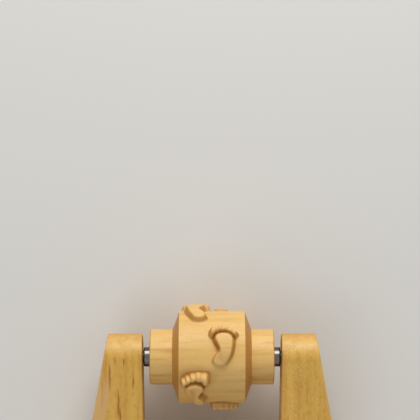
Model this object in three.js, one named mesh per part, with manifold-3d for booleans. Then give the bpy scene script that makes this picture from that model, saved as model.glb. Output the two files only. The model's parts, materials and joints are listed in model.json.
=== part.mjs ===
// Clay texture roller: a turned wooden roller with raised bare feet, which spins on a steel axle
// between the two arms of a wooden fork, with a turned grip behind. Millimetres, +X along the
// axle, +Y towards the arm tips, +Z up. The tool lies on its roller and on the end of its grip.

import * as THREE from 'three';
import { mergeVertices } from 'three/addons/utils/BufferGeometryUtils.js';
import Module from 'manifold-3d';

// Roller: a body, a steep cone at each end and a barrel past each cone.
const bodyRadius = 18.7;
const bodyHalfLength = 13.5;
const coneLength = 2.7;
const barrelRadius = 11.3;
const barrelLength = 9.3;
const barrelChamfer = 0.9;

// Raised feet, which step from side to side round the body. Each is carved by hand: where its heel
// ends, how far it stands out from the pattern's middle line, and its length beside the others.
const reliefHeight = 3.5;
const rootDepth = 0.6;
const patternOffset = -0.8;
const feet = [
  { heelDeg: 1, shift: -0.4, stretch: 1 },
  { heelDeg: 53, shift: 0.2, stretch: 0.9 },
  { heelDeg: 121, shift: 0.1, stretch: 1 },
  { heelDeg: 181, shift: 0, stretch: 1 },
  { heelDeg: 241, shift: 0, stretch: 1 },
  { heelDeg: 301, shift: 0, stretch: 1 },
];

// The sole's outline: points of its inner and outer edge from the heel to the ball, as [across,
// along]. Across grows towards the little toe, and along is measured round the top of the sole.
const heelEnd = [4.6, 0];
const ballEnd = [6.1, 13.8];
const innerEdge = [
  [2.8, 0.5],
  [2.1, 2.0],
  [3.0, 4.2],
  [4.3, 5.9],
  [4.4, 7.5],
  [3.5, 9.6],
  [2.6, 11.7],
  [3.6, 13.3],
];
const outerEdge = [
  [6.3, 0.5],
  [7.3, 2.0],
  [8.4, 4.2],
  [8.9, 5.9],
  [9.2, 7.5],
  [9.5, 9.6],
  [9.4, 11.6],
  [8.2, 13.1],
];
const wallSpread = 1.15;
const heelDip = 0.45;
const heelDipLength = 5;

// The toes, from the big toe out: the ridge's middle and half width, where its top starts and ends
// along the foot, its height, the ramp in front, and how far it leans outwards as it runs forwards.
const toes = [
  { across: 1.6, halfWidth: 1.65, from: 12.8, to: 15.7, rise: 3.4, ramp: 2.6, lean: 0.05 },
  { across: 4.4, halfWidth: 1.5, from: 14.8, to: 15.7, rise: 3.4, ramp: 2.7, lean: 0.1 },
  { across: 6.6, halfWidth: 1.15, from: 14.6, to: 15.3, rise: 3.3, ramp: 2.4, lean: 0.14 },
  { across: 8.3, halfWidth: 1, from: 13.9, to: 14.6, rise: 3.2, ramp: 2.1, lean: 0.18 },
  { across: 9.95, halfWidth: 1.05, from: 12.7, to: 13.6, rise: 3.0, ramp: 1.9, lean: 0.2 },
];
const toeBack = 0.4;
const toeSlope = 0.7;
const toeSpread = 0.3;
const toeBow = 0.45;

// Steel: the axle and the bushings pressed into the barrels.
const axleRadius = 2.5;
const runningClearance = 0.25;
const bushingWall = 1.25;
const bushingSeatDepth = 12;
const steelChamfer = 0.4;
const endPlay = 0.4;
const axleRecess = 0.15;
const boreRelief = 0.6;

// Fork, sawn from one thickness of board. The arms flare outwards to the rear.
const boardThickness = 19;
const roundOver = 1.3;
const tipCorner = 0.6;
const armClearance = 3.05;
const armWidth = 16.05;
const outerFlareDeg = 10.1;
const innerDraftDeg = 0.9;
const throatClearance = 13.8;
const bridgeDepth = 28;
const neckHalfWidth = 11.5;
const neckLength = 10;
const coveRadius = 9;

// Dowels across each glued joint of the fork, at these shares of the bridge's depth.
const dowelShares = { front: 0.25, rear: 0.64 };
const dowelRadius = 3;
const dowelInArm = 11.5;
const dowelInBridge = 16;
const dowelChamfer = 0.6;

// Grip, turned in one piece with its tenon.
const gripLength = 105;
const tenonRadius = 5.5;
const tenonLength = 18;
const tenonChamfer = 0.6;
const shoulderStep = 0.4;
const swellRadius = 15.5;
const waistRadius = 12.9;
const pommelRadius = 14.6;

// Every glued or pressed seat keeps this gap.
const seatGap = 0.3;

// Facets.
const rollerSides = 60;
const gripSides = 40;
const steelSides = 32;
const dowelSides = 20;
const outlineSteps = 2;
const boardLevels = 5;
const shoulderSteps = 12;
const coveSteps = 6;
const cornerSteps = 4;
const gripSteps = 17;

// Sizes that follow from the ones above.
const reliefRadius = bodyRadius + reliefHeight;
const coneRoot = bodyHalfLength + coneLength;
const barrelEnd = coneRoot + barrelLength;
const armInner = barrelEnd + armClearance;
const armOuter = armInner + armWidth;
const bushingBore = axleRadius + runningClearance;
const bushingRadius = bushingBore + bushingWall;
const halfBoard = boardThickness / 2;
const throatY = -(reliefRadius + throatClearance);
const bridgeRearY = throatY - bridgeDepth;
const neckY = bridgeRearY - neckLength;
const shoulderY = neckY - seatGap;
const innerDraft = Math.tan(THREE.MathUtils.degToRad(innerDraftDeg));
const outerFlare = THREE.MathUtils.degToRad(outerFlareDeg);

const wasm = await Module();
wasm.setup();

// A closed solid from a geometry, with its shared corners merged.
function solidOf(geometry) {
  const bare = geometry.index ? geometry.toNonIndexed() : geometry.clone();
  bare.deleteAttribute('normal');
  bare.deleteAttribute('uv');
  const merged = mergeVertices(bare, 1e-4);
  return new wasm.Manifold(new wasm.Mesh({
    numProp: 3,
    vertProperties: merged.attributes.position.array,
    triVerts: merged.index.array,
  }));
}

function geometryOf(solid) {
  const mesh = solid.getMesh();
  const geometry = new THREE.BufferGeometry();
  geometry.setAttribute('position', new THREE.BufferAttribute(mesh.vertProperties, 3));
  geometry.setIndex(new THREE.BufferAttribute(mesh.triVerts, 1));
  geometry.computeVertexNormals();
  return geometry;
}

function facets(points, triangles) {
  const geometry = new THREE.BufferGeometry();
  geometry.setAttribute('position', new THREE.Float32BufferAttribute(points.flat(), 3));
  geometry.setIndex(triangles.flat());
  return geometry;
}

// The band of facets between each ring of points and the next, all rings alike in number.
function bandsBetween(ringCount, size) {
  const triangles = [];
  for (let ring = 0; ring < ringCount - 1; ring++) {
    for (let i = 0; i < size; i++) {
      const a = ring * size + i;
      const b = ring * size + (i + 1) % size;
      triangles.push([a, b, b + size], [a, b + size, a + size]);
    }
  }
  return triangles;
}

function turnedRound(triangles) {
  return triangles.map(([a, b, c]) => [a, c, b]);
}

function movedOn(triangles, count) {
  return triangles.map((corners) => corners.map((i) => i + count));
}

// A shape turned on a lathe about the X axis, from a profile of [radius, place along X].
function turned(profile, sides) {
  const points = profile.map(([radius, x]) => new THREE.Vector2(radius, x));
  return new THREE.LatheGeometry(points, sides).rotateZ(-Math.PI / 2);
}

// A round bar along X with broken edges.
function bar(radius, from, to, chamfer, sides) {
  return turned([
    [0, from],
    [radius - chamfer, from],
    [radius, from + chamfer],
    [radius, to - chamfer],
    [radius - chamfer, to],
    [0, to],
  ], sides);
}

function drill(radius, from, to, y = 0) {
  const hole = turned([[0, from], [radius, from], [radius, to], [0, to]], dowelSides);
  return solidOf(hole.translate(0, y, 0));
}

// Where a point of a foot lies on the roller. Feet alternate between the two sides.
function onRoller(foot, across, along, height) {
  const { heelDeg, shift, stretch } = feet[foot];
  const side = foot % 2 === 0 ? 1 : -1;
  const angle = THREE.MathUtils.degToRad(heelDeg) - stretch * along / reliefRadius;
  const radius = bodyRadius + height;
  return [patternOffset + side * (across + shift), -radius * Math.sin(angle), radius * Math.cos(angle)];
}

function footSolid(foot, points, triangles) {
  const placed = points.map(([across, along, height]) => onRoller(foot, across, along, height));
  return solidOf(facets(placed, foot % 2 === 0 ? triangles : turnedRound(triangles)));
}

// The sole stands on walls that spread towards the roller's body. Its top follows the cylinder and
// dips a little at the heel.
function sole(foot) {
  const corners = [heelEnd, ...outerEdge, ballEnd, ...innerEdge.toReversed()];
  const path = new THREE.CatmullRomCurve3(corners.map(([u, s]) => new THREE.Vector3(u, s, 0)), true);
  const outline = path.getPoints(corners.length * outlineSteps).slice(0, -1);
  const size = outline.length;
  const outward = outline.map((_, i) => {
    const along = outline[(i + 1) % size].clone().sub(outline[(i + size - 1) % size]);
    return new THREE.Vector3(along.y, -along.x, 0).normalize();
  });
  const wall = [[-rootDepth / reliefHeight, 1.4], [0.12, 0.85], [0.93, 0.15], [1, 0]];
  const points = wall.flatMap(([rise, spread]) => outline.map((point, i) => {
    const edge = point.clone().addScaledVector(outward[i], spread * wallSpread);
    const dip = heelDip * Math.max(0, 1 - point.y / heelDipLength) ** 2;
    return [edge.x, edge.y, rise * (reliefHeight - dip)];
  }));
  const cover = [];
  for (let i = 0; i < size / 2; i++) {
    const opposite = size - i;
    if (i > 0) cover.push([i, i + 1, opposite]);
    if (i < size / 2 - 1) cover.push([i + 1, opposite - 1, opposite % size]);
  }
  return footSolid(foot, points, [
    ...bandsBetween(wall.length, size),
    ...turnedRound(cover),
    ...movedOn(cover, (wall.length - 1) * size),
  ]);
}

// A toe is a rounded knob: a back that slopes up from the ball, a domed top and a steep front.
function toe(foot, { across, halfWidth, from, to, rise, ramp, lean }) {
  const sections = [
    { along: from - toeBack, high: 0.1, spread: 1, bow: -1 },
    { along: from + 0.25 * toeSlope, high: 0.7, spread: 0.2, bow: -1 },
    { along: from + toeSlope, high: 0.96, spread: 0, bow: -0.6 },
    { along: to + 0.15 * ramp, high: 1, spread: 0, bow: 0.6 },
    { along: to + 0.6 * ramp, high: 0.8, spread: 0.2, bow: 1 },
    { along: to + ramp, high: 0.04, spread: 1, bow: 1 },
  ];
  const dome = [[-1, 0.3], [-0.68, 0.86], [0, 1], [0.68, 0.86], [1, 0.3]];
  const points = sections.flatMap(({ along, high, spread, bow }) => {
    const middle = across + lean * (along - to);
    const half = halfWidth + spread * toeSpread;
    const rib = dome.map(([u, h]) => [middle + u * half, along - bow * toeBow * u ** 2, h * high * rise]);
    const [first, end] = [rib[0], rib.at(-1)];
    return [[first[0], first[1], -rootDepth], ...rib, [end[0], end[1], -rootDepth]];
  });
  const size = dome.length + 2;
  const cover = [];
  for (let i = 1; i < size - 1; i++) cover.push([0, i, i + 1]);
  return footSolid(foot, points, [
    ...bandsBetween(sections.length, size),
    ...turnedRound(cover),
    ...movedOn(cover, (sections.length - 1) * size),
  ]);
}

function textureRoller() {
  const seatRadius = bushingRadius + seatGap;
  const seatEnd = barrelEnd - bushingSeatDepth;
  const boreRadius = axleRadius + boreRelief;
  const half = [
    [bodyRadius, bodyHalfLength],
    [barrelRadius, coneRoot],
    [barrelRadius, barrelEnd - barrelChamfer],
    [barrelRadius - barrelChamfer, barrelEnd],
    [seatRadius, barrelEnd],
    [seatRadius, seatEnd],
    [boreRadius, seatEnd],
  ];
  const otherHalf = half.map(([radius, x]) => [radius, -x]).toReversed();
  let roller = solidOf(turned([...half, ...otherHalf, half[0]], rollerSides));
  feet.forEach((_, foot) => {
    roller = roller.add(sole(foot));
    for (const each of toes) roller = roller.add(toe(foot, each));
  });
  return geometryOf(roller);
}

// A steel sleeve, seated in the barrel, whose nose stands out to just short of the arm.
function bushing(side) {
  const inner = barrelEnd - bushingSeatDepth + seatGap;
  const nose = armInner - endPlay;
  const profile = [
    [bushingBore, inner],
    [bushingRadius - steelChamfer, inner],
    [bushingRadius, inner + steelChamfer],
    [bushingRadius, nose - steelChamfer],
    [bushingRadius - steelChamfer, nose],
    [bushingBore, nose],
    [bushingBore, inner],
  ];
  const sided = side > 0 ? profile : profile.map(([radius, x]) => [radius, -x]).toReversed();
  return turned(sided, steelSides);
}

// The axle ends just under the arms' slanting outer faces.
function axle() {
  const end = armOuter - Math.tan(outerFlare) * axleRadius - axleRecess;
  return bar(axleRadius, -end, end, steelChamfer, steelSides);
}

// How far the rounded edge of the board draws in at a height above its middle.
function drawnIn(z) {
  const over = Math.max(0, Math.abs(z) - (halfBoard - roundOver));
  return roundOver - Math.sqrt(Math.max(0, roundOver ** 2 - over ** 2));
}

function arcPoints(x, y, radius, fromDeg, toDeg, steps) {
  return Array.from({ length: steps + 1 }, (_, i) => {
    const angle = THREE.MathUtils.degToRad(fromDeg + (toDeg - fromDeg) * i / steps);
    return [x + radius * Math.cos(angle), y + radius * Math.sin(angle)];
  });
}

function triangulated(ring) {
  return THREE.ShapeUtils.triangulateShape(ring.map(([x, y]) => new THREE.Vector2(x, y)), []);
}

// A piece of the fork: its outline in plan, drawn in at each level of the board's thickness.
function boardPiece(outlineAt) {
  const rings = [];
  for (let level = -boardLevels; level <= boardLevels; level++) {
    const z = halfBoard * Math.sin(Math.PI / 2 * level / boardLevels);
    rings.push(outlineAt(z).map(([x, y]) => [x, y, z]));
  }
  const size = rings[0].length;
  return solidOf(facets(rings.flat(), [
    ...bandsBetween(rings.length, size),
    ...turnedRound(triangulated(rings[0])),
    ...movedOn(triangulated(rings.at(-1)), (rings.length - 1) * size),
  ]));
}

function innerFace(y) {
  return armInner + innerDraft * y;
}

// The dowels' places along the fork, front and rear.
function dowelY(place) {
  return throatY - dowelShares[place] * bridgeDepth;
}

// The arm's outer face runs back from the tip and turns into a shoulder that meets the bridge
// square. Its full-round tip is centred on the axle.
function arm() {
  const normal = [Math.cos(outerFlare), Math.sin(outerFlare)];
  const seamX = innerFace(bridgeRearY);
  const reach = armOuter * normal[0];
  const shoulder = (reach - normal[0] * seamX - normal[1] * bridgeRearY) / (1 + normal[1]);
  const shoulderCentre = bridgeRearY + shoulder;
  return boardPiece((z) => {
    const inset = drawnIn(z);
    const tipY = Math.sqrt(Math.max(0, halfBoard ** 2 - z ** 2));
    const cornerY = tipY - tipCorner;
    const outerX = (reach - inset - tipCorner - normal[1] * cornerY) / normal[0];
    const innerX = innerFace(cornerY) + inset + tipCorner;
    return [
      ...arcPoints(seamX, shoulderCentre, shoulder - inset, -90, outerFlareDeg, shoulderSteps),
      ...arcPoints(outerX, cornerY, tipCorner, outerFlareDeg, 90, cornerSteps),
      ...arcPoints(innerX, cornerY, tipCorner, 90, 180, cornerSteps),
      [innerFace(throatY + roundOver) + inset, throatY + roundOver],
      [innerFace(throatY), throatY],
    ];
  });
}

function forkArm(side) {
  let piece = arm().subtract(drill(axleRadius + seatGap, barrelEnd, armOuter + armWidth));
  for (const place in dowelShares) {
    const y = dowelY(place);
    const end = innerFace(y) + dowelInArm + seatGap;
    piece = piece.subtract(drill(dowelRadius + seatGap, 0, end, y));
  }
  return geometryOf(side > 0 ? piece : piece.mirror([1, 0, 0]));
}

// The crosspiece, with a neck behind for the grip. Its edges are rounded except at the joints.
function bridge() {
  const block = boardPiece((z) => {
    const inset = drawnIn(z);
    const cove = coveRadius + inset;
    const right = [
      [neckHalfWidth - inset, neckY],
      ...arcPoints(neckHalfWidth + coveRadius, bridgeRearY - coveRadius, cove, 180, 90, coveSteps),
      [innerFace(bridgeRearY) - seatGap, bridgeRearY + inset],
      [innerFace(throatY) - seatGap, throatY - inset],
    ];
    return [...right, ...right.map(([x, y]) => [-x, y]).toReversed()];
  });
  const mortiseRadius = tenonRadius + seatGap;
  const mortise = turned([
    [0, -tenonLength],
    [mortiseRadius, -tenonLength],
    [mortiseRadius, neckLength],
    [0, neckLength],
  ], dowelSides).rotateZ(-Math.PI / 2).translate(0, neckY, 0);
  let piece = block.subtract(solidOf(mortise));
  for (const place in dowelShares) {
    const y = dowelY(place);
    const end = innerFace(y) - dowelInBridge - 2 * seatGap;
    const hole = drill(dowelRadius + seatGap, end, armOuter, y);
    piece = piece.subtract(hole).subtract(hole.mirror([1, 0, 0]));
  }
  return geometryOf(piece);
}

function dowel(side, place) {
  const y = dowelY(place);
  const from = innerFace(y) - seatGap - dowelInBridge;
  const to = innerFace(y) + dowelInArm;
  const ends = side > 0 ? [from, to] : [-to, -from];
  return bar(dowelRadius, ends[0], ends[1], dowelChamfer, dowelSides).translate(0, y, 0);
}

// The grip's profile as [radius, distance behind the shoulder], from the tenon to the pommel.
function gripProfile() {
  const neck = halfBoard - shoulderStep;
  const shape = new THREE.SplineCurve([
    [neck, 0],
    [neck, 0.05],
    [0.85 * swellRadius, 0.22],
    [swellRadius, 0.42],
    [1.07 * waistRadius, 0.64],
    [waistRadius, 0.76],
    [pommelRadius, 0.91],
    [0.835 * pommelRadius, 0.975],
    [0.45 * pommelRadius, 1],
  ].map(([radius, share]) => new THREE.Vector2(radius, share * gripLength))).getPoints(gripSteps);
  return [
    [0, -tenonLength],
    [tenonRadius - tenonChamfer, -tenonLength],
    [tenonRadius, tenonChamfer - tenonLength],
    [tenonRadius, 0],
    ...shape.map(({ x, y }) => [x, y]),
    [0, gripLength],
  ];
}

function grip() {
  return turned(gripProfile(), gripSides).rotateZ(-Math.PI / 2).translate(0, shoulderY, 0);
}

// The handle leans about the axle until the grip rests on the same surface as the roller.
function restingTilt(axleHeight) {
  const outside = gripProfile().filter(([radius, back]) => radius > 0 && back > 0);
  const angles = outside.map(([radius, back]) => {
    const distance = back - shoulderY;
    return Math.asin(axleHeight / Math.hypot(radius, distance)) - Math.atan2(radius, distance);
  });
  return Math.min(...angles);
}

const oak = () => new THREE.MeshStandardMaterial({ color: 0xc9964f, roughness: 0.55, metalness: 0 });
const beech = () => new THREE.MeshStandardMaterial({ color: 0xe0bd86, roughness: 0.6, metalness: 0 });
const dowelWood = () => new THREE.MeshStandardMaterial({ color: 0xd9b98a, roughness: 0.7, metalness: 0 });
const steel = () => new THREE.MeshStandardMaterial({ color: 0xc4c6c8, roughness: 0.25, metalness: 1 });

function named(name, geometry, material) {
  const mesh = new THREE.Mesh(geometry, material);
  mesh.name = name;
  return mesh;
}

const spinning = new THREE.Group();
spinning.add(named('texture_roller', textureRoller(), beech()));
spinning.add(named('left_bushing', bushing(-1), steel()));
spinning.add(named('right_bushing', bushing(1), steel()));
const rollerBottom = new THREE.Box3().setFromObject(spinning, true).min.z;

const handle = new THREE.Group();
handle.add(named('axle', axle(), steel()));
handle.add(named('bridge', bridge(), oak()));
handle.add(named('grip', grip(), oak()));
for (const [name, side] of [['left', -1], ['right', 1]]) {
  handle.add(named(`${name}_arm`, forkArm(side), oak()));
  for (const place in dowelShares) {
    handle.add(named(`${name}_${place}_dowel`, dowel(side, place), dowelWood()));
  }
}
handle.rotation.x = restingTilt(-rollerBottom);

// The origin is under the middle of the whole tool, on the surface that it lies on.
const tool = new THREE.Group();
tool.add(spinning, handle);
tool.updateMatrixWorld(true);
const extent = new THREE.Box3().setFromObject(tool, true);
tool.position.set(0, -(extent.min.y + extent.max.y) / 2, -extent.min.z);

export default tool;
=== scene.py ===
import math

import bmesh
import bpy
import numpy as np
from mathutils import Matrix, Vector
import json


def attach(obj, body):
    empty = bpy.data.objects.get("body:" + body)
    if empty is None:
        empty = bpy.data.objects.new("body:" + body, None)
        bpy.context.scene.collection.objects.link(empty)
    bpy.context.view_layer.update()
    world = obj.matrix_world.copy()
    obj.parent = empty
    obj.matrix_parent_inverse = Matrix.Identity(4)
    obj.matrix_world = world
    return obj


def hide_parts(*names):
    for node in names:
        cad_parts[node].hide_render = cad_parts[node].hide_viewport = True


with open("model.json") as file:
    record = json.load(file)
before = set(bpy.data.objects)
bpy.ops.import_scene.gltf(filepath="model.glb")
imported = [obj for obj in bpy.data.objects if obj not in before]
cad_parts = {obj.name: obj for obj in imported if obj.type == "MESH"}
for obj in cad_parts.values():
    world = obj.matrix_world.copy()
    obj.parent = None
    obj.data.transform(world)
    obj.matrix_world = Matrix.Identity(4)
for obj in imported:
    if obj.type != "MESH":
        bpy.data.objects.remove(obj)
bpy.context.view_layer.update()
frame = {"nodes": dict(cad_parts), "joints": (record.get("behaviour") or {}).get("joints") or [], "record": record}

# Texture roller: one billet of pale close-grained wood, turned to a body with a steep cone and a
# barrel at each end, then carved all round with six bare feet that step from side to side. It
# turns on the axle with the two bushings in it. All its sizes are in millimetres.
mm = 0.001
axle_centre = Vector(frame["joints"][0]["pos_m"])
body_radius, barrel_radius, barrel_end = 18.7, 11.3, 25.5
relief_height, relief_radius = 3.5, 22.2
seat_radius, seat_end, bore_radius = 4.04, 13.5, 3.1

# A foot seen from above: points of its sole's outline as (across, along), and its toes from the big
# one out, each with its reach to the sides, behind and ahead, its web and its height.
sole_outline = [
    (4.6, 0), (6.3, 0.5), (7.3, 2.0), (8.4, 4.2), (8.9, 5.9), (9.2, 7.5), (9.5, 9.6), (9.4, 11.6),
    (8.2, 13.2), (6.1, 13.9), (3.7, 13.4), (2.6, 11.8), (3.5, 9.6), (4.4, 7.5), (4.3, 5.9),
    (3.0, 4.2), (2.1, 2.0), (2.8, 0.5),
]
toes = [
    {"across": 1.82, "along": 15.6, "half": 1.7, "behind": 2.5, "ahead": 2.5, "web": 0.4, "rise": 3.5},
    {"across": 4.4, "along": 16.6, "half": 1.68, "behind": 1.7, "ahead": 1.8, "web": 1.2, "rise": 3.45},
    {"across": 6.75, "along": 16.3, "half": 1.38, "behind": 1.65, "ahead": 1.6, "web": 1.2, "rise": 3.35},
    {"across": 8.6, "along": 15.3, "half": 1.35, "behind": 1.6, "ahead": 1.6, "web": 1.1, "rise": 3.2},
    {"across": 10.2, "along": 14.3, "half": 1.4, "behind": 1.6, "ahead": 1.6, "web": 0.2, "rise": 3.05},
]
heel_dip, heel_dip_length = 0.45, 5
wall_middle, wall_slope, toe_lean = 0.6, 0.42, 0.1


def eased(low, high, value):
    t = np.clip((value - low) / (high - low), 0, 1)
    return t * t * (3 - 2 * t)


def through(before, at, after, beyond, t):
    """A smooth curve from one point to the one after it, led by the points around them."""
    bend = (2 * before - 5 * at + 4 * after - beyond) * t**2
    curl = (3 * at - before - 3 * after + beyond) * t**3
    return (2 * at + (after - before) * t + bend + curl) / 2


def smooth_loop(corners, steps=12):
    at = np.array(corners, float)[:, None]
    before, after, beyond = (np.roll(at, turn, 0) for turn in (1, -1, -2))
    t = np.linspace(0, 1, steps, endpoint=False)[None, :, None]
    return through(before, at, after, beyond, t).reshape(-1, 2)


def distance_outside(across, along, loop):
    """How far each point lies outside a closed outline, below zero inside it."""
    start, edge = loop, np.roll(loop, -1, 0) - loop
    point = np.stack([across, along], -1)[..., None, :]
    share = np.clip(((point - start) * edge).sum(-1) / (edge**2).sum(-1), 0, 1)
    gap = np.linalg.norm(point - start - share[..., None] * edge, axis=-1).min(-1)
    end = start + edge
    spans = (start[:, 1] > point[..., 1]) != (end[:, 1] > point[..., 1])
    rise = np.where(edge[:, 1] == 0, 1, edge[:, 1])
    crossing = start[:, 0] + (point[..., 1] - start[:, 1]) / rise * edge[:, 0]
    inside = (spans & (point[..., 0] < crossing)).sum(-1) % 2 == 1
    return np.where(inside, -gap, gap)


def melted(heights, keenness):
    """One surface over several forms, with the creases between them filled."""
    return sum(height**keenness for height in heights) ** (1 / keenness)


def blurred(field, passes):
    for _ in range(passes):
        for axis in (0, 1):
            padded = np.pad(field, [(1, 1) if i == axis else (0, 0) for i in (0, 1)], "edge")
            ends = [np.take(padded, range(i, i + field.shape[axis]), axis) for i in (0, 1, 2)]
            field = (ends[0] + 2 * ends[1] + ends[2]) / 4
    return field


def foot_relief(across, along, outside):
    """The height of a carved foot over the body: a flat sole with a dipping heel, and domed toes."""
    heel = np.clip(1 - along / heel_dip_length, 0, 1.4)
    slope = wall_slope + 0.12 * np.minimum(heel, 1)
    on_top = 0.5 - 0.5 * np.tanh((outside - wall_middle) / slope)
    sole = (relief_height - heel_dip * heel**2) * on_top
    domes = []
    for toe in toes:
        past = along - toe["along"]
        spread = np.abs((across - toe["across"] - toe_lean * past) / toe["half"])
        for share, wider, web in ((1, 1, 0), (0.55, 1.12, toe["web"])):
            reach = np.where(past > 0, toe["ahead"] - 0.4 * web, toe["behind"] + web)
            dome = 1 - (spread / wider) ** 2.4 - np.abs(past / reach) ** 2.6
            domes.append(share * toe["rise"] * np.clip(dome, 0, 1) ** 0.42)
    foot = melted([sole, melted(domes, keenness=6)], keenness=9)
    return np.maximum(blurred(foot, passes=2) - 0.06, 0)


# One panel of the roller is a sixth of its whole skin, laid flat: across it run the body, both ends
# and the bore, and along it a foot from behind its heel to in front of its toes.
foot_length, groove_along, heel_room, blank_length, carved_half = 18.5, 14.0, 2.6, 2.0, 13.25
panel_end = foot_length + blank_length
body_columns, foot_rows, blank_rows, grid_step = 110, 87, 8, 0.245
turned_end = [
    (13.42, body_radius), (13.52, 18.62), (13.58, 18.46), (13.64, 18.28), (14.9, 14.84),
    (15.99, 11.86), (16.08, 11.6), (16.2, 11.42), (16.38, 11.32), (16.6, barrel_radius),
    (20.0, barrel_radius), (24.5, barrel_radius), (24.85, 11.29), (25.12, 11.2), (25.32, 11.02),
    (25.44, 10.8), (25.49, 10.55), (barrel_end, 10.3), (barrel_end, 7.0), (barrel_end, 4.4),
    (25.46, 4.2), (25.3, seat_radius), (25.0, seat_radius), (seat_end, seat_radius),
    (seat_end, bore_radius),
]
body_x = np.linspace(-carved_half, carved_half, body_columns)
end_x, end_radius = np.array(turned_end).T
column_x = np.concatenate([body_x, end_x, -end_x[::-1]])
column_radius = np.concatenate([np.full(body_columns, body_radius), end_radius, end_radius[::-1]])
row_along = np.concatenate([
    np.linspace(-heel_room, foot_length, foot_rows),
    np.linspace(foot_length, panel_end, blank_rows + 1)[1:],
])
across, along = np.meshgrid(column_x, row_along)
on_body = np.arange(len(column_x)) < body_columns
outside = distance_outside(across, along, smooth_loop(sole_outline))
relief = np.where(on_body, foot_relief(across, along, outside), 0)

# Marks over the panel, from 0 to about 1, which the shape and the finish read. Give is how much a
# point slides with its foot. The others say where the heel, the sole's outer edge, the walls, the
# hollows, the raised wood, the ground before the toes and the fronts of the toes are.
give = eased(-carved_half, -2, across) * np.clip((carved_half - across) / 1.65, 0, 1) * on_body
give *= eased(-heel_room, -1.5, along) * (1 - eased(foot_length - 0.4, panel_end, along))
inner_side = 1 - eased(3.5, 6.5, across)
heel = eased(6.5 + 2.5 * inner_side, 0.2 + 1.6 * inner_side, along)
slope_along, slope_across = np.gradient(relief, grid_step)
past_ball = along + 0.25 * np.clip(across - 6, 0, 5)
on_sole = 1 - 0.85 * eased(groove_along - 1.4, groove_along, past_ball)
wall = eased(0.5, 2.2, np.hypot(slope_along, slope_across)) * on_sole * on_body
arch = np.exp(-((along - 8.0) / 3.4) ** 2) * (across < 5.5)
groove = np.exp(-((outside - 1.0) / 0.75) ** 2) * eased(10.8, 13.0, along)
crease = np.clip((blurred(relief, passes=14) - relief) / 0.9, 0, 1) * on_sole
falling = -np.gradient(blurred(relief, passes=30), grid_step)[0]
at_toes = eased(groove_along, groove_along + 1, along) * on_body
panel_marks = {
    "give": give,
    "outer": eased(4.5, 9.0, across) * (1 - eased(10.5, 12.5, along)) * on_body,
    "heel": heel * (0.75 + 0.5 * inner_side) * on_body,
    # This mark says where painted shade goes: in the groove behind the toes, in the creases at the foot of the
    # walls and on the arch wall.
    "hollow": np.clip(groove + (0.3 + 0.35 * arch) * crease + 0.5 * wall * arch, 0, 1) * on_body,
    "raised": np.clip(relief / relief_height, 0, 1) * on_body,
    "wall": wall,
    "before_toes": eased(0.06, 0.5, falling) * (1 - eased(0.3, 0.9, relief)) * at_toes,
    "toe_face": eased(0.3, 1.2, -slope_along) * (1 - eased(2.2, 3.2, relief)) * at_toes,
}


def noted(mesh, name, values):
    mesh.attributes.new(name, "FLOAT", "POINT").data.foreach_set("value", values)


def added(name, data):
    piece = bpy.data.objects.new(name, data)
    bpy.context.scene.collection.objects.link(piece)
    return piece


over_body = column_radius - body_radius + relief
skin_points = np.stack([across, along, over_body], -1).reshape(-1, 3) * mm
spot = np.arange(across.size).reshape(across.shape)
following = np.roll(spot, -1, 1)
skin_faces = np.stack([spot[:-1], following[:-1], following[1:], spot[1:]], -1).reshape(-1, 4)
panel_mesh = bpy.data.meshes.new("roller_panel")
panel_mesh.from_pydata(skin_points.tolist(), [], skin_faces.tolist())
for name, values in panel_marks.items():
    noted(panel_mesh, name, values.ravel())
panel = added("roller_panel", panel_mesh)

# Each foot is set out one by one. Heel says where its heel ends, in degrees round the axle, and slide
# how far it stands from the pattern's middle line. The rest is as usual unless the foot names it:
# the lengths of its sole and toes, its height, how much lower its heel and its outer edge are cut,
# and how brown the ground before its toes, their fronts, its heel's wall and its hollows are.
# The brown on the ground before the toes, on their fronts, on the heel walls and in the hollows is painted shade,
# with a little dark cut wood.
usual = {
    "sole": 1, "toes": 1, "height": 1, "sunk": 0, "tilt": 0,
    "brown_ground": 1, "brown_toes": 0, "brown_heel": 0, "brown_hollow": 1,
}
set_out = [
    {"heel": 1, "slide": -1.2, "sunk": 0.42, "brown_ground": 0},
    {"heel": 301, "slide": -0.8, "height": 0.86, "sunk": 0.05, "brown_heel": 1, "brown_hollow": 0.25},
    {"heel": 241, "slide": -0.8, "height": 0.95, "brown_toes": 0.2},
    {"heel": 181, "slide": -0.8, "brown_toes": 0.1},
    {"heel": 121, "slide": -0.7, "height": 0.85, "sunk": 0.08, "brown_toes": 0.4},
    {"heel": 55, "slide": -1.0, "sole": 0.86, "toes": 1.22, "tilt": 0.7},
]
feet_carved = [{**usual, **foot} for foot in set_out]
foot_marks = {name: [foot[name] for foot in feet_carved] for name in usual}
foot_marks["heel_end"] = [math.radians(foot["heel"]) for foot in feet_carved]
foot_marks["slide"] = [foot["slide"] * mm for foot in feet_carved]
foot_marks["side"] = [1, -1] * (len(feet_carved) // 2)
foot_marks["bare"] = []
for foot, following_foot in zip(feet_carved, feet_carved[1:] + feet_carved[:1]):
    length = foot["sole"] * groove_along + foot["toes"] * (foot_length - groove_along)
    to_next = math.radians((foot["heel"] - following_foot["heel"]) % 360)
    carved = length + following_foot["sole"] * heel_room
    foot_marks["bare"].append(to_next - carved / relief_radius)
roller_mesh = bpy.data.meshes.new("carved_roller")
roller_mesh.from_pydata([(0, 0, 0)] * len(set_out), [], [])
for name, values in foot_marks.items():
    noted(roller_mesh, name, values)
roller = added("carved_roller", roller_mesh)


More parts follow.
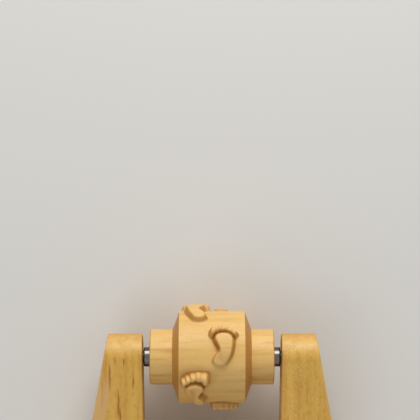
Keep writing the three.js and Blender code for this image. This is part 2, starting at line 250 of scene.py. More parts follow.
def wire(tree, kind, settings, inputs, output=0):
    """A new node with its settings, and its inputs set or linked. Gives one of its outputs."""
    made = tree.nodes.new(kind)
    for name, value in settings.items():
        setattr(made, name, value)
    for key, value in inputs.items():
        if isinstance(value, bpy.types.NodeSocket):
            tree.links.new(value, made.inputs[key])
        else:
            made.inputs[key].default_value = value
    return made.outputs[output]


def reckoned(tree, operation, *values):
    return wire(tree, "ShaderNodeMath", {"operation": operation}, dict(enumerate(values)))


def times(tree, *values):
    product = values[0]
    for value in values[1:]:
        product = reckoned(tree, "MULTIPLY", product, value)
    return product


def wrapped_round_the_axle():
    """Lays the flat panel round the axle, once for each foot, and closes it to one skin."""
    tree = bpy.data.node_groups.new("feet_round_the_roller", "GeometryNodeTree")
    tree.interface.new_socket("Places", in_out="INPUT", socket_type="NodeSocketGeometry")
    for name, kind in (
        ("Panel", "Object"), ("Wood", "Material"), ("Body radius", "Float"), ("Relief radius", "Float"),
        ("Foot length", "Float"), ("Groove", "Float"), ("Bare length", "Float"),
        ("Axle centre", "Vector"),
    ):
        tree.interface.new_socket(name, in_out="INPUT", socket_type=f"NodeSocket{kind}")
    tree.interface.new_socket("Roller", in_out="OUTPUT", socket_type="NodeSocketGeometry")
    given = tree.nodes.new("NodeGroupInput").outputs

    def mark(name):
        kind = "GeometryNodeInputNamedAttribute"
        return wire(tree, kind, {"data_type": "FLOAT"}, {"Name": name})

    carved = wire(tree, "GeometryNodeObjectInfo", {}, {"Object": given["Panel"]}, "Geometry")
    copied = {"Points": given["Places"], "Instance": carved}
    six = wire(tree, "GeometryNodeInstanceOnPoints", {}, copied)
    flat = wire(tree, "GeometryNodeRealizeInstances", {}, {"Geometry": six})
    place = tree.nodes.new("GeometryNodeInputPosition").outputs[0]
    x, ahead, up = (wire(tree, "ShaderNodeSeparateXYZ", {}, {0: place}, axis) for axis in "XYZ")

    # Across, a foot is turned to its side and slides on it.
    side = mark("side")
    x = reckoned(tree, "ADD", times(tree, x, side), times(tree, mark("slide"), mark("give")))

    # Along, its sole and toes have their own lengths, and the bare wood after them fills the rest.
    groove, foot_end = given["Groove"], given["Foot length"]
    sole = times(tree, reckoned(tree, "MINIMUM", ahead, groove), mark("sole"))
    toe = reckoned(tree, "SUBTRACT", reckoned(tree, "MINIMUM", ahead, foot_end), groove)
    toe = times(tree, reckoned(tree, "MAXIMUM", toe, 0.0), mark("toes"))
    walked = reckoned(tree, "DIVIDE", reckoned(tree, "ADD", sole, toe), given["Relief radius"])
    past = reckoned(tree, "MAXIMUM", reckoned(tree, "SUBTRACT", ahead, foot_end), 0.0)
    bare = times(tree, reckoned(tree, "DIVIDE", past, given["Bare length"]), mark("bare"))
    angle = reckoned(tree, "SUBTRACT", reckoned(tree, "SUBTRACT", mark("heel_end"), walked), bare)

    # Up, only what stands over the body changes with the foot.
    low_heel = times(tree, mark("heel"), mark("sunk"))
    low_edge = times(tree, mark("outer"), mark("tilt"))
    kept = reckoned(tree, "SUBTRACT", reckoned(tree, "SUBTRACT", 1.0, low_heel), low_edge)
    raised = times(tree, reckoned(tree, "MAXIMUM", up, 0.0), mark("height"), kept)
    up = reckoned(tree, "ADD", raised, reckoned(tree, "MINIMUM", up, 0.0))

    radius = reckoned(tree, "ADD", up, given["Body radius"])
    y = times(tree, radius, reckoned(tree, "SINE", angle), -1.0)
    z = times(tree, radius, reckoned(tree, "COSINE", angle))
    point = wire(tree, "ShaderNodeCombineXYZ", {}, {"X": x, "Y": y, "Z": z})
    moved = {0: point, 1: given["Axle centre"]}
    point = wire(tree, "ShaderNodeVectorMath", {"operation": "ADD"}, moved)
    skin = wire(tree, "GeometryNodeSetPosition", {}, {"Geometry": flat, "Position": point})
    mirrored = wire(tree, "FunctionNodeCompare", {"operation": "LESS_THAN"}, {"A": side, "B": 0.0})
    skin = wire(tree, "GeometryNodeFlipFaces", {}, {"Mesh": skin, "Selection": mirrored})
    skin = wire(tree, "GeometryNodeMergeByDistance", {}, {"Geometry": skin, "Distance": 0.01 * mm})
    skin = wire(tree, "GeometryNodeRealizeInstances", {}, {"Geometry": skin})
    skin = wire(tree, "GeometryNodeSetMaterial", {}, {"Geometry": skin, "Material": given["Wood"]})
    tree.links.new(skin, tree.nodes.new("NodeGroupOutput").inputs[0])
    return tree


def tint(red, green, blue):
    """The colour of a chip of the finish, given as it looks under plain light, from 0 to 255."""
    chip = np.array([red, green, blue]) / 255
    linear = np.where(chip <= 0.04045, chip / 12.92, ((chip + 0.055) / 1.055) ** 2.4)
    return (*linear.tolist(), 1)


def finish_named(name):
    made = bpy.data.materials.new(name)
    made.use_nodes = True
    return made, made.node_tree, made.node_tree.nodes["Principled BSDF"]


def own_place(tree, centre, lean=0.0):
    """Where the surface is on the piece, in millimetres from the axle."""
    place = tree.nodes.new("ShaderNodeTexCoord").outputs["Object"]
    turn = {"Vector": place, "Location": centre, "Rotation": (lean, 0, 0), "Scale": (mm, mm, mm)}
    return wire(tree, "ShaderNodeMapping", {"vector_type": "TEXTURE"}, turn)


def mottle(tree, place, scale, detail=2.0, output=0):
    """Soft noise, with its own fineness along each axis of the piece."""
    shaped = wire(tree, "ShaderNodeMapping", {}, {"Vector": place, "Scale": scale})
    noise = {"Vector": shaped, "Scale": 1.0, "Detail": detail}
    return wire(tree, "ShaderNodeTexNoise", {}, noise, output)


def stained(tree, share, under, over):
    """A colour with a share of another laid over it."""
    settings = {"data_type": "RGBA", "clamp_factor": True}
    return wire(tree, "ShaderNodeMix", settings, {0: share, 6: under, 7: over}, 2)


def between(tree, value, low, high, to_low=0.0, to_high=1.0):
    """Eases from one value to the other while the input goes from low to high."""
    span = {"Value": value, "From Min": low, "From Max": high, "To Min": to_low, "To Max": to_high}
    return wire(tree, "ShaderNodeMapRange", {"interpolation_type": "SMOOTHSTEP"}, span)


def marked(tree, name):
    return wire(tree, "ShaderNodeAttribute", {"attribute_name": name}, {}, "Fac")


def dented(tree, shader, height, strength, depth):
    bump = {"Height": height, "Strength": strength, "Distance": depth * mm}
    tree.links.new(wire(tree, "ShaderNodeBump", {}, bump), shader.inputs["Normal"])


def pores(tree, place, cell, size, kept, start=(0, 0, 0)):
    """Long vessels cut open along the grain: a spindle in some of the cells of a loose lattice."""
    laid = {"Vector": place, "Location": start, "Scale": [1 / c for c in cell]}
    shaped = wire(tree, "ShaderNodeMapping", {}, laid)
    seed = {"Vector": shaped, "Scale": 1.0, "Randomness": 1.0}
    node = wire(tree, "ShaderNodeTexVoronoi", {}, seed).node
    spindle = between(tree, node.outputs["Distance"], size * 0.55, size, 1.0, 0.0)
    draw = wire(tree, "ShaderNodeSeparateColor", {}, {0: node.outputs["Color"]})
    return times(tree, spindle, reckoned(tree, "LESS_THAN", draw, kept))


def growth_rings(tree, place, pith, across_grain, width, waver):
    """How far the surface is through its year ring, from the pith's place in the billet."""
    sway = mottle(tree, place, waver, detail=1.0, output=1)
    sway = wire(tree, "ShaderNodeVectorMath", {"operation": "SCALE"}, {0: sway, "Scale": 2.6})
    for operation, by in (("ADD", sway), ("SUBTRACT", pith), ("MULTIPLY", across_grain)):
        place = wire(tree, "ShaderNodeVectorMath", {"operation": operation}, {0: place, 1: by})
    reach = wire(tree, "ShaderNodeVectorMath", {"operation": "LENGTH"}, {0: place}, "Value")
    return reckoned(tree, "FRACT", reckoned(tree, "DIVIDE", reach, width))


def hairline(tree, place, height, start, end):
    """A drying crack that opens along the grain: a thin wavering line on the top of the roller."""
    x, y, z = (wire(tree, "ShaderNodeSeparateXYZ", {}, {0: place}, axis) for axis in "XYZ")
    waver = mottle(tree, place, (0.3, 0.02, 0.02), detail=1.0)
    off = reckoned(tree, "SUBTRACT", y, between(tree, waver, 0.1, 0.9, height - 0.25, height + 0.25))
    line = between(tree, reckoned(tree, "ABSOLUTE", off), 0.05, 0.17, 1.0, 0.0)
    length = times(tree, between(tree, x, start, start + 0.8), between(tree, x, end, end - 1.2))
    return times(tree, line, length, reckoned(tree, "GREATER_THAN", z, body_radius))


def painted_shade_patch(tree, place, middle, half_size):
    """A patch of painted shade on the ground beside a foot, which spares what is raised."""
    there = {"Vector": place, "Location": middle, "Scale": half_size}
    there = wire(tree, "ShaderNodeMapping", {"vector_type": "TEXTURE"}, there)
    away = wire(tree, "ShaderNodeVectorMath", {"operation": "LENGTH"}, {0: there}, "Value")
    on_ground = between(tree, marked(tree, "raised"), 0.03, 0.25, 1.0, 0.0)
    return times(tree, between(tree, away, 0.3, 1.0, 1.0, 0.0), on_ground)


def roller_grain(tree, place):
    """Pale close-grained wood: faint year rings, streaks, fine fibres, flecks and dark end grain."""
    pale = mottle(tree, place, (0.035, 0.16, 0.16))
    colour = stained(tree, pale, tint(222, 176, 97), tint(239, 200, 126))
    waver = (0.02, 0.09, 0.09)
    ring = growth_rings(tree, place, (0, 17, 31), across_grain=(0, 1, 1), width=4.6, waver=waver)
    late = times(tree, between(tree, ring, 0.1, 0.7), between(tree, ring, 1.0, 0.7))
    colour = stained(tree, times(tree, late, 0.16), colour, tint(196, 146, 76))
    reach = wire(tree, "ShaderNodeSeparateXYZ", {}, {0: place}, "X")
    on_barrel = between(tree, reckoned(tree, "ABSOLUTE", reach), 15.0, 16.5, 0.3, 0.75)
    streak = between(tree, mottle(tree, place, (0.04, 0.4, 0.4), detail=3.0), 0.48, 0.74)
    colour = stained(tree, times(tree, streak, on_barrel), colour, tint(190, 132, 58))
    fibre = mottle(tree, place, (0.35, 5.5, 5.5), detail=3.0)
    colour = stained(tree, between(tree, fibre, 0.35, 0.75, 0.0, 0.3), colour, tint(203, 158, 94))
    fleck = pores(tree, place, cell=(4.2, 0.55, 0.55), size=0.2, kept=0.55)
    colour = stained(tree, times(tree, fleck, 0.3), colour, tint(150, 104, 54))
    cut_across = mottle(tree, place, (0.5, 1.2, 1.2), detail=4.0)
    cut_across = stained(tree, cut_across, tint(168, 106, 32), tint(200, 142, 62))
    ends = between(tree, marked(tree, "end_grain"), 0.35, 0.95, 0.0, 0.9)
    return stained(tree, ends, colour, cut_across), fibre, fleck


def carving_marks(tree, colour):
    """Raised wood that hands rub, and painted shade on the walls, in the hollows and at the toes, with a little
    dark cut wood.
    """
    colour = stained(tree, times(tree, marked(tree, "raised"), 0.3), colour, tint(226, 180, 112))
    low_heel = times(tree, marked(tree, "heel"), marked(tree, "sunk"))
    low_edge = times(tree, marked(tree, "outer"), marked(tree, "tilt"))
    standing = between(tree, reckoned(tree, "ADD", low_heel, low_edge), 0.0, 0.2, 1.0, 0.05)
    # Painted shade on the steep walls of the feet, with a little of the cut wood's deeper colour. It is stronger
    # on a heel wall where the foot asks for it.
    heel_shade_share = times(tree, marked(tree, "heel"), marked(tree, "brown_heel"))
    heel_shade_share = between(tree, heel_shade_share, 0.0, 1.0, 0.4, 0.9)
    wall = times(tree, marked(tree, "wall"), standing, heel_shade_share)
    colour = stained(tree, wall, colour, tint(182, 124, 50))
    # Painted shade, with some dark cut wood, on the ground just before the toes and on the fronts of the toes.
    ground = times(tree, marked(tree, "before_toes"), marked(tree, "brown_ground"))
    fronts = times(tree, marked(tree, "toe_face"), marked(tree, "brown_toes"))
    brown_toes = times(tree, reckoned(tree, "MAXIMUM", ground, fronts), 0.8)
    colour = stained(tree, brown_toes, colour, tint(150, 96, 16))
    # Painted shade in the hollows: the groove behind the toes, the creases at the foot of the walls and the arch
    # wall.
    hollow = times(tree, marked(tree, "hollow"), standing, marked(tree, "brown_hollow"))
    return stained(tree, times(tree, hollow, 0.85), colour, tint(156, 91, 18)), hollow


def roller_wood():
    made, tree, shader = finish_named("roller_wood")
    place = own_place(tree, axle_centre)
    colour, fibre, fleck = roller_grain(tree, place)
    colour, hollow = carving_marks(tree, colour)
    # A patch of painted shade on the ground round the toes of one foot.
    patch_shade = painted_shade_patch(tree, place, middle=(-7.0, -5.3, 17.9), half_size=(12.0, 6.5, 12.0))
    colour = stained(tree, times(tree, patch_shade, 0.5), colour, tint(168, 114, 46))
    crack = hairline(tree, place, height=6.55, start=3.8, end=8.2)
    colour = stained(tree, times(tree, crack, 0.5), colour, tint(130, 84, 36))
    tree.links.new(colour, shader.inputs["Base Color"])
    tree.links.new(between(tree, fibre, 0.3, 0.7, 0.4, 0.52), shader.inputs["Roughness"])
    shine = between(tree, hollow, 0.0, 0.8, 0.35, 0.05)
    tree.links.new(shine, shader.inputs["Specular IOR Level"])
    dent = reckoned(tree, "SUBTRACT", times(tree, fibre, 0.5), fleck)
    dent = reckoned(tree, "SUBTRACT", dent, times(tree, crack, 3.0))
    dented(tree, shader, dent, strength=0.35, depth=0.05)
    return made


def plain_copy(piece):
    """The piece's modifiers worked into its own mesh."""
    graph = bpy.context.evaluated_depsgraph_get()
    mesh = bpy.data.meshes.new_from_object(
        piece.evaluated_get(graph), preserve_all_data_layers=True, depsgraph=graph
    )
    piece.modifiers.clear()
    piece.data = mesh
    mesh.name = piece.name


def smoothed(mesh, corner_deg):
    mesh.polygons.foreach_set("use_smooth", [True] * len(mesh.polygons))
    mesh.set_sharp_from_angle(angle=math.radians(corner_deg))


def facing(mesh, direction):
    """How squarely each point of the skin faces a direction or its opposite, from 0 to 1."""
    normals = np.zeros(len(mesh.vertices) * 3, np.float32)
    mesh.vertex_normals.foreach_get("vector", normals)
    return np.abs(normals.reshape(-1, 3) @ np.array(direction, np.float32))


feet = roller.modifiers.new("feet", "NODES")
feet.node_group = wrapped_round_the_axle()
settings = {
    "Panel": panel, "Wood": roller_wood(), "Body radius": body_radius * mm,
    "Relief radius": relief_radius * mm, "Foot length": foot_length * mm,
    "Groove": groove_along * mm, "Bare length": blank_length * mm, "Axle centre": axle_centre,
}
for socket in feet.node_group.interface.items_tree:
    if socket.name in settings:
        feet[socket.identifier] = settings[socket.name]
plain_copy(roller)
bpy.data.objects.remove(panel)
smoothed(roller.data, corner_deg=50)
noted(roller.data, "end_grain", facing(roller.data, (1, 0, 0)))
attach(roller, "roller")
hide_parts("texture_roller")

# Bushings: two polished steel sleeves pressed into the barrels. Their noses stand out of the
# wood and space the roller from the arms.
bushing_radius, bushing_bore, nose_end = 4.0, 2.75, 28.15


def as_piece(name, shape, placed, finish):
    """An object from a shape in millimetres, put in its place on the tool, with its finish."""
    bmesh.ops.recalc_face_normals(shape, faces=shape.faces)
    shape.transform(placed)
    mesh = bpy.data.meshes.new(name)
    shape.to_mesh(mesh)
    shape.free()
    mesh.materials.append(finish)
    return added(name, mesh)


def turned(name, profile, placed, finish, sides):
    """A piece turned about its own X axis, from a profile of (place along, radius)."""
    turns = np.linspace(0, 2 * math.pi, sides, endpoint=False)
    shape = bmesh.new()
    rings = []
    for x, radius in profile:
        if radius == 0:
            rings.append([shape.verts.new((x, 0, 0))] * sides)
        else:
            ring = [(x, -radius * math.sin(t), radius * math.cos(t)) for t in turns]
            rings.append([shape.verts.new(at) for at in ring])
    for here, there in zip(rings, rings[1:]):
        for i in range(sides):
            j = (i + 1) % sides
            corners = list(dict.fromkeys([here[i], there[i], there[j], here[j]]))
            shape.faces.new(corners)
    bmesh.ops.remove_doubles(shape, verts=shape.verts, dist=1e-4)
    piece = as_piece(name, shape, placed, finish)
    smoothed(piece.data, corner_deg=40)
    return piece


def polished_steel():
    made, tree, shader = finish_named("polished_steel")
    place = own_place(tree, axle_centre)
    lines = mottle(tree, place, (14.0, 0.12, 0.12), detail=2.0)
    smear = mottle(tree, place, (0.5, 0.5, 0.5), detail=3.0)
    # The base colour is darker than steel's own: a painted dark reflection, for the dark surroundings that the
    # steel would mirror.
    colour = stained(tree, smear, tint(90, 86, 83), tint(116, 112, 108))
    tree.links.new(colour, shader.inputs["Base Color"])
    shader.inputs["Metallic"].default_value = 1.0
    rough = between(tree, smear, 0.3, 0.7, 0.14, 0.22)
    rough = reckoned(tree, "ADD", rough, times(tree, lines, 0.06))
    tree.links.new(rough, shader.inputs["Roughness"])
    dented(tree, shader, lines, strength=0.15, depth=0.01)
    return made


steel = polished_steel()
on_axle = Matrix.Translation(axle_centre) @ Matrix.Scale(mm, 4)
sleeve = [
    (13.8, bushing_bore), (13.8, 3.7), (13.9, 3.9), (14.1, bushing_radius), (14.5, bushing_radius),
    (27.5, bushing_radius), (27.85, bushing_radius), (28.02, 3.93), (28.12, 3.78), (nose_end, 3.6),
    (nose_end, 2.95), (28.1, 2.82), (28.0, bushing_bore), (13.8, bushing_bore),
]
for name, side in (("left", -1), ("right", 1)):
    profile = [(side * x, radius) for x, radius in sleeve]
    bushing = turned(f"{name}_sleeve", profile, on_axle, steel, sides=96)
    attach(bushing, "roller")
    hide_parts(f"{name}_bushing")

# Axle: one ground steel rod through both arms and both bushings, driven into the arms so that
# its chamfered ends lie just under their outer faces.
axle_radius, axle_end = 2.5, 44.0
rod_end = [
    (-axle_end, 0), (-axle_end, 2.1), (-axle_end + 0.12, 2.3), (-axle_end + 0.3, 2.44),
    (-axle_end + 0.5, axle_radius),
]
rod = rod_end + [(-x, radius) for x, radius in reversed(rod_end)]
axle = turned("axle_rod", rod, on_axle, steel, sides=64)
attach(axle, "handle")
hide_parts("axle")

# Arms: two pieces of golden open-pored board, sawn to a flare, with round tips and rounded edges.
# Each is glued and dowelled to the side of the bridge, and holds an end of the axle.
thickness, round_over, corner, arm_inner, arm_outer = 19.0, 1.3, 0.6, 28.55, 44.6
half_board, level_count = thickness / 2, 18
flare_deg, draft = 10.1, math.tan(math.radians(0.9))
flare = math.radians(flare_deg)
throat_y, bridge_rear = -36.0, -64.0
dowel_ys = [throat_y + share * (bridge_rear - throat_y) for share in (0.25, 0.64)]
dowel_hole, hole_in_arm, hole_in_bridge = 3.3, 11.8, 16.6
press_gap, trim, right_through, past_joint = 0.04, 0.02, 80, 30
top = next(m["axis"] for m in frame["record"]["mounts"] if m["name"] == "bridge_top")
lean = math.atan2(-top[1], top[2])
as_held = Matrix.Translation(axle_centre) @ Matrix.Rotation(lean, 4, "X") @ Matrix.Scale(mm, 4)


def inner_face(y):
    return arm_inner + draft * y


def drawn_in(z):
    """How far the rounded edge of a board stands back at a level."""
    over = max(0, abs(z) - (half_board - round_over))
    return round_over - math.sqrt(max(0, round_over**2 - over**2))


def arc(x, y, radius, start, end, steps):
    turns = np.radians(np.linspace(start, end, steps + 1))
    return [(x + radius * math.cos(t), y + radius * math.sin(t)) for t in turns]


def note_board_marks(mesh, dashes):
    """End grain, the edges that hands rub and that carry a painted highlight, and how many long pores the board
    shows.
    """
    up = facing(mesh, (0, -math.sin(lean), math.cos(lean)))
    noted(mesh, "end_grain", facing(mesh, (0, math.cos(lean), math.sin(lean))))
    noted(mesh, "worn", 4 * up * (1 - np.minimum(up, 1)))
    noted(mesh, "dashes", [dashes] * len(mesh.vertices))


def sawn_board(name, outline_at, holes, finish, dashes):
    """A piece of board from its outline at each level, with its holes drilled."""
    steps = range(-level_count, level_count + 1)
    levels = [half_board * math.sin(math.pi / 2 * i / level_count) for i in steps]
    shape = bmesh.new()
    rings = [[shape.verts.new((x, y, z)) for x, y in outline_at(z)] for z in levels]
    count = len(rings[0])
    for under, over in zip(rings, rings[1:]):
        for i in range(count):
            j = (i + 1) % count
            shape.faces.new((under[i], under[j], over[j], over[i]))
    caps = [shape.faces.new(rings[-1]), shape.faces.new(list(reversed(rings[0])))]
    bmesh.ops.inset_region(shape, faces=caps, thickness=0.25, use_even_offset=True)
    piece = as_piece(name, shape, as_held, finish)
    cutters = []
    for placed, radius, depth in holes:
        profile = [(0, 0), (0, radius), (depth, radius), (depth, 0)]
        cutter = turned(f"{name}_drill", profile, as_held @ placed, finish, sides=40)
        drilled = piece.modifiers.new("drilled", "BOOLEAN")
        drilled.object, drilled.operation, drilled.solver = cutter, "DIFFERENCE", "EXACT"
        cutters.append(cutter)
    plain_copy(piece)
    for cutter in cutters:
        bpy.data.objects.remove(cutter)
    smoothed(piece.data, corner_deg=32)
    note_board_marks(piece.data, dashes)
    return piece


def board_grain(tree, place):
    """Golden board: year rings, long streaks, pale and rusty bands, fibres, clouds and rays."""
    warm = mottle(tree, place, (0.3, 0.12, 0.3), detail=3.0)
    colour = stained(tree, warm, tint(199, 151, 53), tint(221, 179, 85))
    waver = (0.07, 0.012, 0.07)
    ring = growth_rings(tree, place, (6, 0, -74), across_grain=(1, 0.02, 1), width=3.4, waver=waver)
    late = between(tree, ring, 0.3, 0.95)
    colour = stained(tree, times(tree, late, 0.3), colour, tint(182, 124, 38))
    streak = mottle(tree, place, (0.7, 0.04, 0.7), detail=3.0)
    colour = stained(tree, between(tree, streak, 0.5, 0.75, 0.0, 0.5), colour, tint(172, 114, 36))
    band = mottle(tree, place, (0.22, 0.008, 0.22), detail=1.0)
    colour = stained(tree, between(tree, band, 0.4, 0.65, 0.0, 0.4), colour, tint(224, 174, 84))
    colour = stained(tree, between(tree, band, 0.45, 0.3, 0.0, 0.35), colour, tint(190, 116, 40))
    fibre = mottle(tree, place, (4.5, 0.3, 4.5), detail=3.0)
    colour = stained(tree, between(tree, fibre, 0.4, 0.75, 0.0, 0.35), colour, tint(220, 178, 92))
    cloud = mottle(tree, place, (0.55, 0.4, 0.55), detail=4.0)
    colour = stained(tree, between(tree, cloud, 0.48, 0.7, 0.0, 0.55), colour, tint(200, 140, 50))
    ray = between(tree, mottle(tree, place, (2.6, 1.0, 2.6), detail=1.0), 0.58, 0.72)
    few = between(tree, marked(tree, "dashes"), 0.4, 1.0, 0.55, 0.12)
    colour = stained(tree, times(tree, ray, few), colour, tint(232, 196, 124))
    return colour, fibre, streak


def pale_edge_strip(tree, place, streak):
    """A paler strip along the left arm's outer face, with a wavy edge. It ends behind the axle."""
    x, y = (wire(tree, "ShaderNodeSeparateXYZ", {}, {0: place}, axis) for axis in "XY")
    deep = times(tree, reckoned(tree, "ADD", x, arm_outer), math.cos(flare))
    deep = reckoned(tree, "SUBTRACT", deep, times(tree, y, math.sin(flare)))
    deep = reckoned(tree, "ADD", deep, between(tree, streak, 0.3, 0.7, -0.8, 0.8))
    behind_axle = between(tree, y, -14.0, -3.0, 1.0, 0.0)
    return times(tree, between(tree, deep, 3.8, 5.8, 1.0, 0.0), behind_axle)


def long_pores(tree, place):
    """Long open vessels that wander a little, and close where the board is cut across."""
    wander = mottle(tree, place, (0.12, 0.3, 0.12), detail=1.0, output=1)
    wander = wire(tree, "ShaderNodeVectorMath", {"operation": "SCALE"}, {0: wander, "Scale": 0.8})
    place = wire(tree, "ShaderNodeVectorMath", {"operation": "ADD"}, {0: place, 1: wander})
    start = (5.34, 1.9, 7.26)
    vessel = pores(tree, place, cell=(1.8, 24.0, 1.8), size=0.3, kept=0.9, start=start)
    cut_along = between(tree, marked(tree, "end_grain"), 0.02, 0.2, 1.0, 0.0)
    return times(tree, vessel, marked(tree, "dashes"), cut_along)


def fork_wood():
    made, tree, shader = finish_named("fork_wood")
    place = own_place(tree, axle_centre, lean)
    colour, fibre, streak = board_grain(tree, place)
    fine = pores(tree, place, cell=(0.62, 4.6, 0.62), size=0.3, kept=0.8)
    colour = stained(tree, times(tree, fine, 0.18), colour, tint(150, 98, 34))
    long = long_pores(tree, place)
    colour = stained(tree, times(tree, long, 0.75), colour, tint(140, 86, 8))
    pale_edge = pale_edge_strip(tree, place, streak)
    colour = stained(tree, times(tree, pale_edge, 0.75), colour, tint(214, 172, 112))
    cut_across = mottle(tree, place, (1.4, 0.4, 1.4), detail=4.0)
    cut_across = stained(tree, cut_across, tint(184, 118, 40), tint(212, 154, 72))
    ends = between(tree, marked(tree, "end_grain"), 0.72, 0.99, 0.0, 0.8)
    colour = stained(tree, ends, colour, cut_across)
    # Paler on the rounded edges and tips: partly wear from hands, partly a painted highlight where the rounding
    # catches the light.
    patchy = mottle(tree, place, (0.5, 0.2, 0.5), detail=3.0)
    patchy = between(tree, patchy, 0.3, 0.6, 0.45, 1.0)
    rubbed_and_highlight = times(tree, marked(tree, "worn"), patchy)
    colour = stained(tree, times(tree, rubbed_and_highlight, 0.48), colour, tint(234, 195, 118))
    tree.links.new(colour, shader.inputs["Base Color"])
    rough = between(tree, fibre, 0.3, 0.7, 0.42, 0.56)
    rough = reckoned(tree, "SUBTRACT", rough, times(tree, rubbed_and_highlight, 0.12))
    tree.links.new(rough, shader.inputs["Roughness"])
    shader.inputs["Specular IOR Level"].default_value = 0.4
    cut = reckoned(tree, "ADD", times(tree, fine, 0.4), long)
    dent = reckoned(tree, "SUBTRACT", times(tree, fibre, 0.35), cut)
    dented(tree, shader, dent, strength=0.45, depth=0.08)
    return made


def arm_outline(side):
    """An arm seen from above at each level: a rounded rear shoulder, a flared face and its tip."""
    normal = (math.cos(flare), math.sin(flare))
    seam_x = inner_face(bridge_rear)
    reach = arm_outer * normal[0]
    shoulder = (reach - normal[0] * seam_x - normal[1] * bridge_rear) / (1 + normal[1])

    def outline_at(z):
        inset = drawn_in(z)
        corner_y = math.sqrt(max(0, half_board**2 - z**2)) - corner
        outer_x = (reach - inset - corner - normal[1] * corner_y) / normal[0]
        inner_x = inner_face(corner_y) + inset + corner
        points = [
            *arc(seam_x, bridge_rear + shoulder, shoulder - inset - trim, -90, flare_deg, 36),
            *arc(outer_x, corner_y, corner, flare_deg, 90, 8),
            *arc(inner_x, corner_y, corner, 90, 180, 8),
            (inner_face(throat_y + round_over) + inset, throat_y + round_over),
            (inner_face(throat_y), throat_y),
        ]
        return [(side * x, y) for x, y in points]

    return outline_at


oiled = fork_wood()
for name, side, dashes in (("left", -1, 1.0), ("right", 1, 0.25)):
    inward = Matrix.Identity(4) if side > 0 else Matrix.Rotation(math.pi, 4, "Y")
    holes = [(inward, axle_radius + press_gap, right_through)]
    for y in dowel_ys:
        drill = Matrix.Translation((0, y, 0)) @ inward
        holes.append((drill, dowel_hole, inner_face(y) + hole_in_arm))
    arm = sawn_board(f"{name}_fork_arm", arm_outline(side), holes, oiled, dashes)
    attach(arm, "handle")
    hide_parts(f"{name}_arm")

# Bridge: the crosspiece of the fork, cut from the same board, with a coved neck behind that the
# grip's tenon is glued into.
neck_half, neck_y, cove_radius, glue_line = 11.5, -74.0, 9.0, 0.04
mortise_radius, mortise_depth, run_out = 5.55, 18.0, 4.0


def bridge_outline(z):
    inset = drawn_in(z)
    right = [
        (neck_half - inset, neck_y),
        *arc(neck_half + cove_radius, bridge_rear - cove_radius, cove_radius + inset, 180, 90, 20),
        (inner_face(bridge_rear) - glue_line, bridge_rear + inset),
        (inner_face(throat_y) - glue_line, throat_y - inset),
    ]
    return right + [(-x, y) for x, y in reversed(right)]


forward = Matrix.Translation((0, neck_y - run_out, 0)) @ Matrix.Rotation(math.pi / 2, 4, "Z")
holes = [(forward, mortise_radius, run_out + mortise_depth)]
for y in dowel_ys:
    for inward in (Matrix.Identity(4), Matrix.Rotation(math.pi, 4, "Y")):
        start = Matrix.Translation((inner_face(y) - hole_in_bridge, 0, 0))
        drill = Matrix.Translation((0, y, 0)) @ inward @ start
        holes.append((drill, dowel_hole, past_joint))
bridge = sawn_board("fork_bridge", bridge_outline, holes, oiled, dashes=0.6)
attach(bridge, "handle")
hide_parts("bridge")

# Dowels: two pegs of pale raw wood glued across each joint of the fork, hidden in the arms and the
# bridge. They keep the plain shape that they have in the solids.


def dowel_wood():
    made, tree, shader = finish_named("dowel_wood")
    place = own_place(tree, axle_centre, lean)
    fibre = mottle(tree, place, (0.3, 4.0, 4.0), detail=3.0)
    colour = stained(tree, fibre, tint(205, 170, 118), tint(228, 198, 150))
    fleck = pores(tree, place, cell=(3.5, 0.5, 0.5), size=0.22, kept=0.5)
    colour = stained(tree, times(tree, fleck, 0.4), colour, tint(160, 118, 70))
    tree.links.new(colour, shader.inputs["Base Color"])
    tree.links.new(between(tree, fibre, 0.3, 0.7, 0.6, 0.75), shader.inputs["Roughness"])
    dented(tree, shader, fibre, strength=0.3, depth=0.05)
    return made


raw = dowel_wood()
for side in ("left", "right"):
    for place in ("front", "rear"):
        peg = frame["nodes"][f"{side}_{place}_dowel"]
        peg.data.materials.clear()
        peg.data.materials.append(raw)

# Grip: turned from the same wood in one piece with its tenon, swelling for the palm, waisted for
# the fingers and rounded off at the pommel.
grip_length, shoulder_y, swell, waist, pommel = 105.0, -74.05, 15.5, 12.9, 14.58
tenon_length, tenon_radius = 17.7, 5.5


def grip_profile():
    """Places along the grip with its radius there, from the bridge's neck to the pommel."""
    neck = half_board - 0.4
    stations = np.array([
        (0, neck), (0.05, neck), (0.22, 0.85 * swell), (0.42, swell), (0.64, 1.07 * waist),
        (0.76, waist), (0.91, pommel), (0.975, 0.835 * pommel), (1, 0.45 * pommel),
    ])
    padded = np.vstack([stations[0], stations, stations[-1]])
    steps = np.linspace(0, 1, 8, endpoint=False)
    points = []
    for four in zip(padded, padded[1:], padded[2:], padded[3:]):
        points += [through(*four, t) for t in steps]
    points.append(stations[-1])
    return [(share * grip_length, radius) for share, radius in points]


behind = Matrix.Translation((0, shoulder_y, 0)) @ Matrix.Rotation(-math.pi / 2, 4, "Z")
tenon = [
    (-tenon_length, 0), (-tenon_length, 4.9), (-17.5, 5.3), (-17.1, tenon_radius),
    (-16.0, tenon_radius), (-0.5, tenon_radius), (0, tenon_radius),
]
outline = tenon + grip_profile() + [(grip_length, 0)]
handle = turned("turned_grip", outline, as_held @ behind, oiled, sides=96)
note_board_marks(handle.data, dashes=0.6)
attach(handle, "handle")
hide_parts("grip")

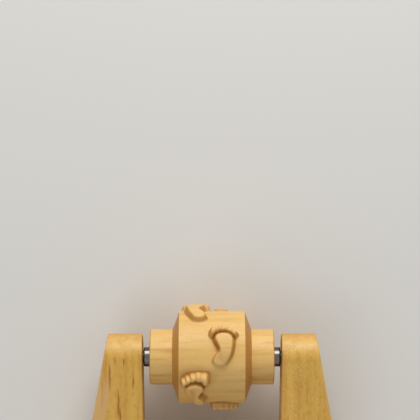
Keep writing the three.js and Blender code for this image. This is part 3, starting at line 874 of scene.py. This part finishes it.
# Floor, light and camera: a plain pale floor, one large soft lamp low in front of the arm tips, a
# weaker one to fill, and a camera that looks straight down with the arm tips towards the top.


def pale_floor():
    made, _, shader = finish_named("pale_floor")
    shader.inputs["Base Color"].default_value = tint(228, 226, 221)
    shader.inputs["Roughness"].default_value = 1.0
    shader.inputs["Specular IOR Level"].default_value = 0.0
    return made


floor_mesh = bpy.data.meshes.new("floor")
floor_corners = [(-6, -6, 0), (6, -6, 0), (6, 6, 0), (-6, 6, 0)]
floor_mesh.from_pydata(floor_corners, [], [(0, 1, 2, 3)])
floor_mesh.materials.append(pale_floor())
floor = added("floor", floor_mesh)

world = bpy.data.worlds.new("studio")
bpy.context.scene.world = world
world.use_nodes = True
sky = world.node_tree
path = sky.nodes.new("ShaderNodeLightPath").outputs
seen = reckoned(sky, "MAXIMUM", path["Is Glossy Ray"], path["Is Transmission Ray"])
seen = reckoned(sky, "MAXIMUM", path["Is Camera Ray"], seen)
room_light, shown_light = 0.42, 1.0
lit_as = {"Value": seen, "To Min": room_light, "To Max": shown_light}
strength = wire(sky, "ShaderNodeMapRange", {}, lit_as)
backdrop = sky.nodes["Background"]
backdrop.inputs["Color"].default_value = tint(246, 246, 246)
sky.links.new(strength, backdrop.inputs["Strength"])

lamp_aim = Vector((0, 0.06, 0.02))
for name, place, size, power in (
    ("key", (0.08, 0.93, 0.46), 0.6, 7.0),
    ("fill", (-0.4, -0.4, 0.7), 0.6, 1.0),
):
    lamp = bpy.data.lights.new(name, "AREA")
    lamp.size, lamp.energy = size, power
    lit = added(name, lamp)
    lit.location = place
    lit.rotation_euler = (lamp_aim - Vector(place)).to_track_quat("-Z", "Y").to_euler()

lens = bpy.data.cameras.new("camera")
lens.lens, lens.sensor_width, lens.shift_y = 145.2, 36, -0.2728
camera = added("camera", lens)
camera.location = axle_centre + Vector((-0.0008, 0.108, 0.7))
bpy.context.scene.camera = camera
bpy.context.scene.view_settings.view_transform = "Standard"

bpy.context.view_layer.update()
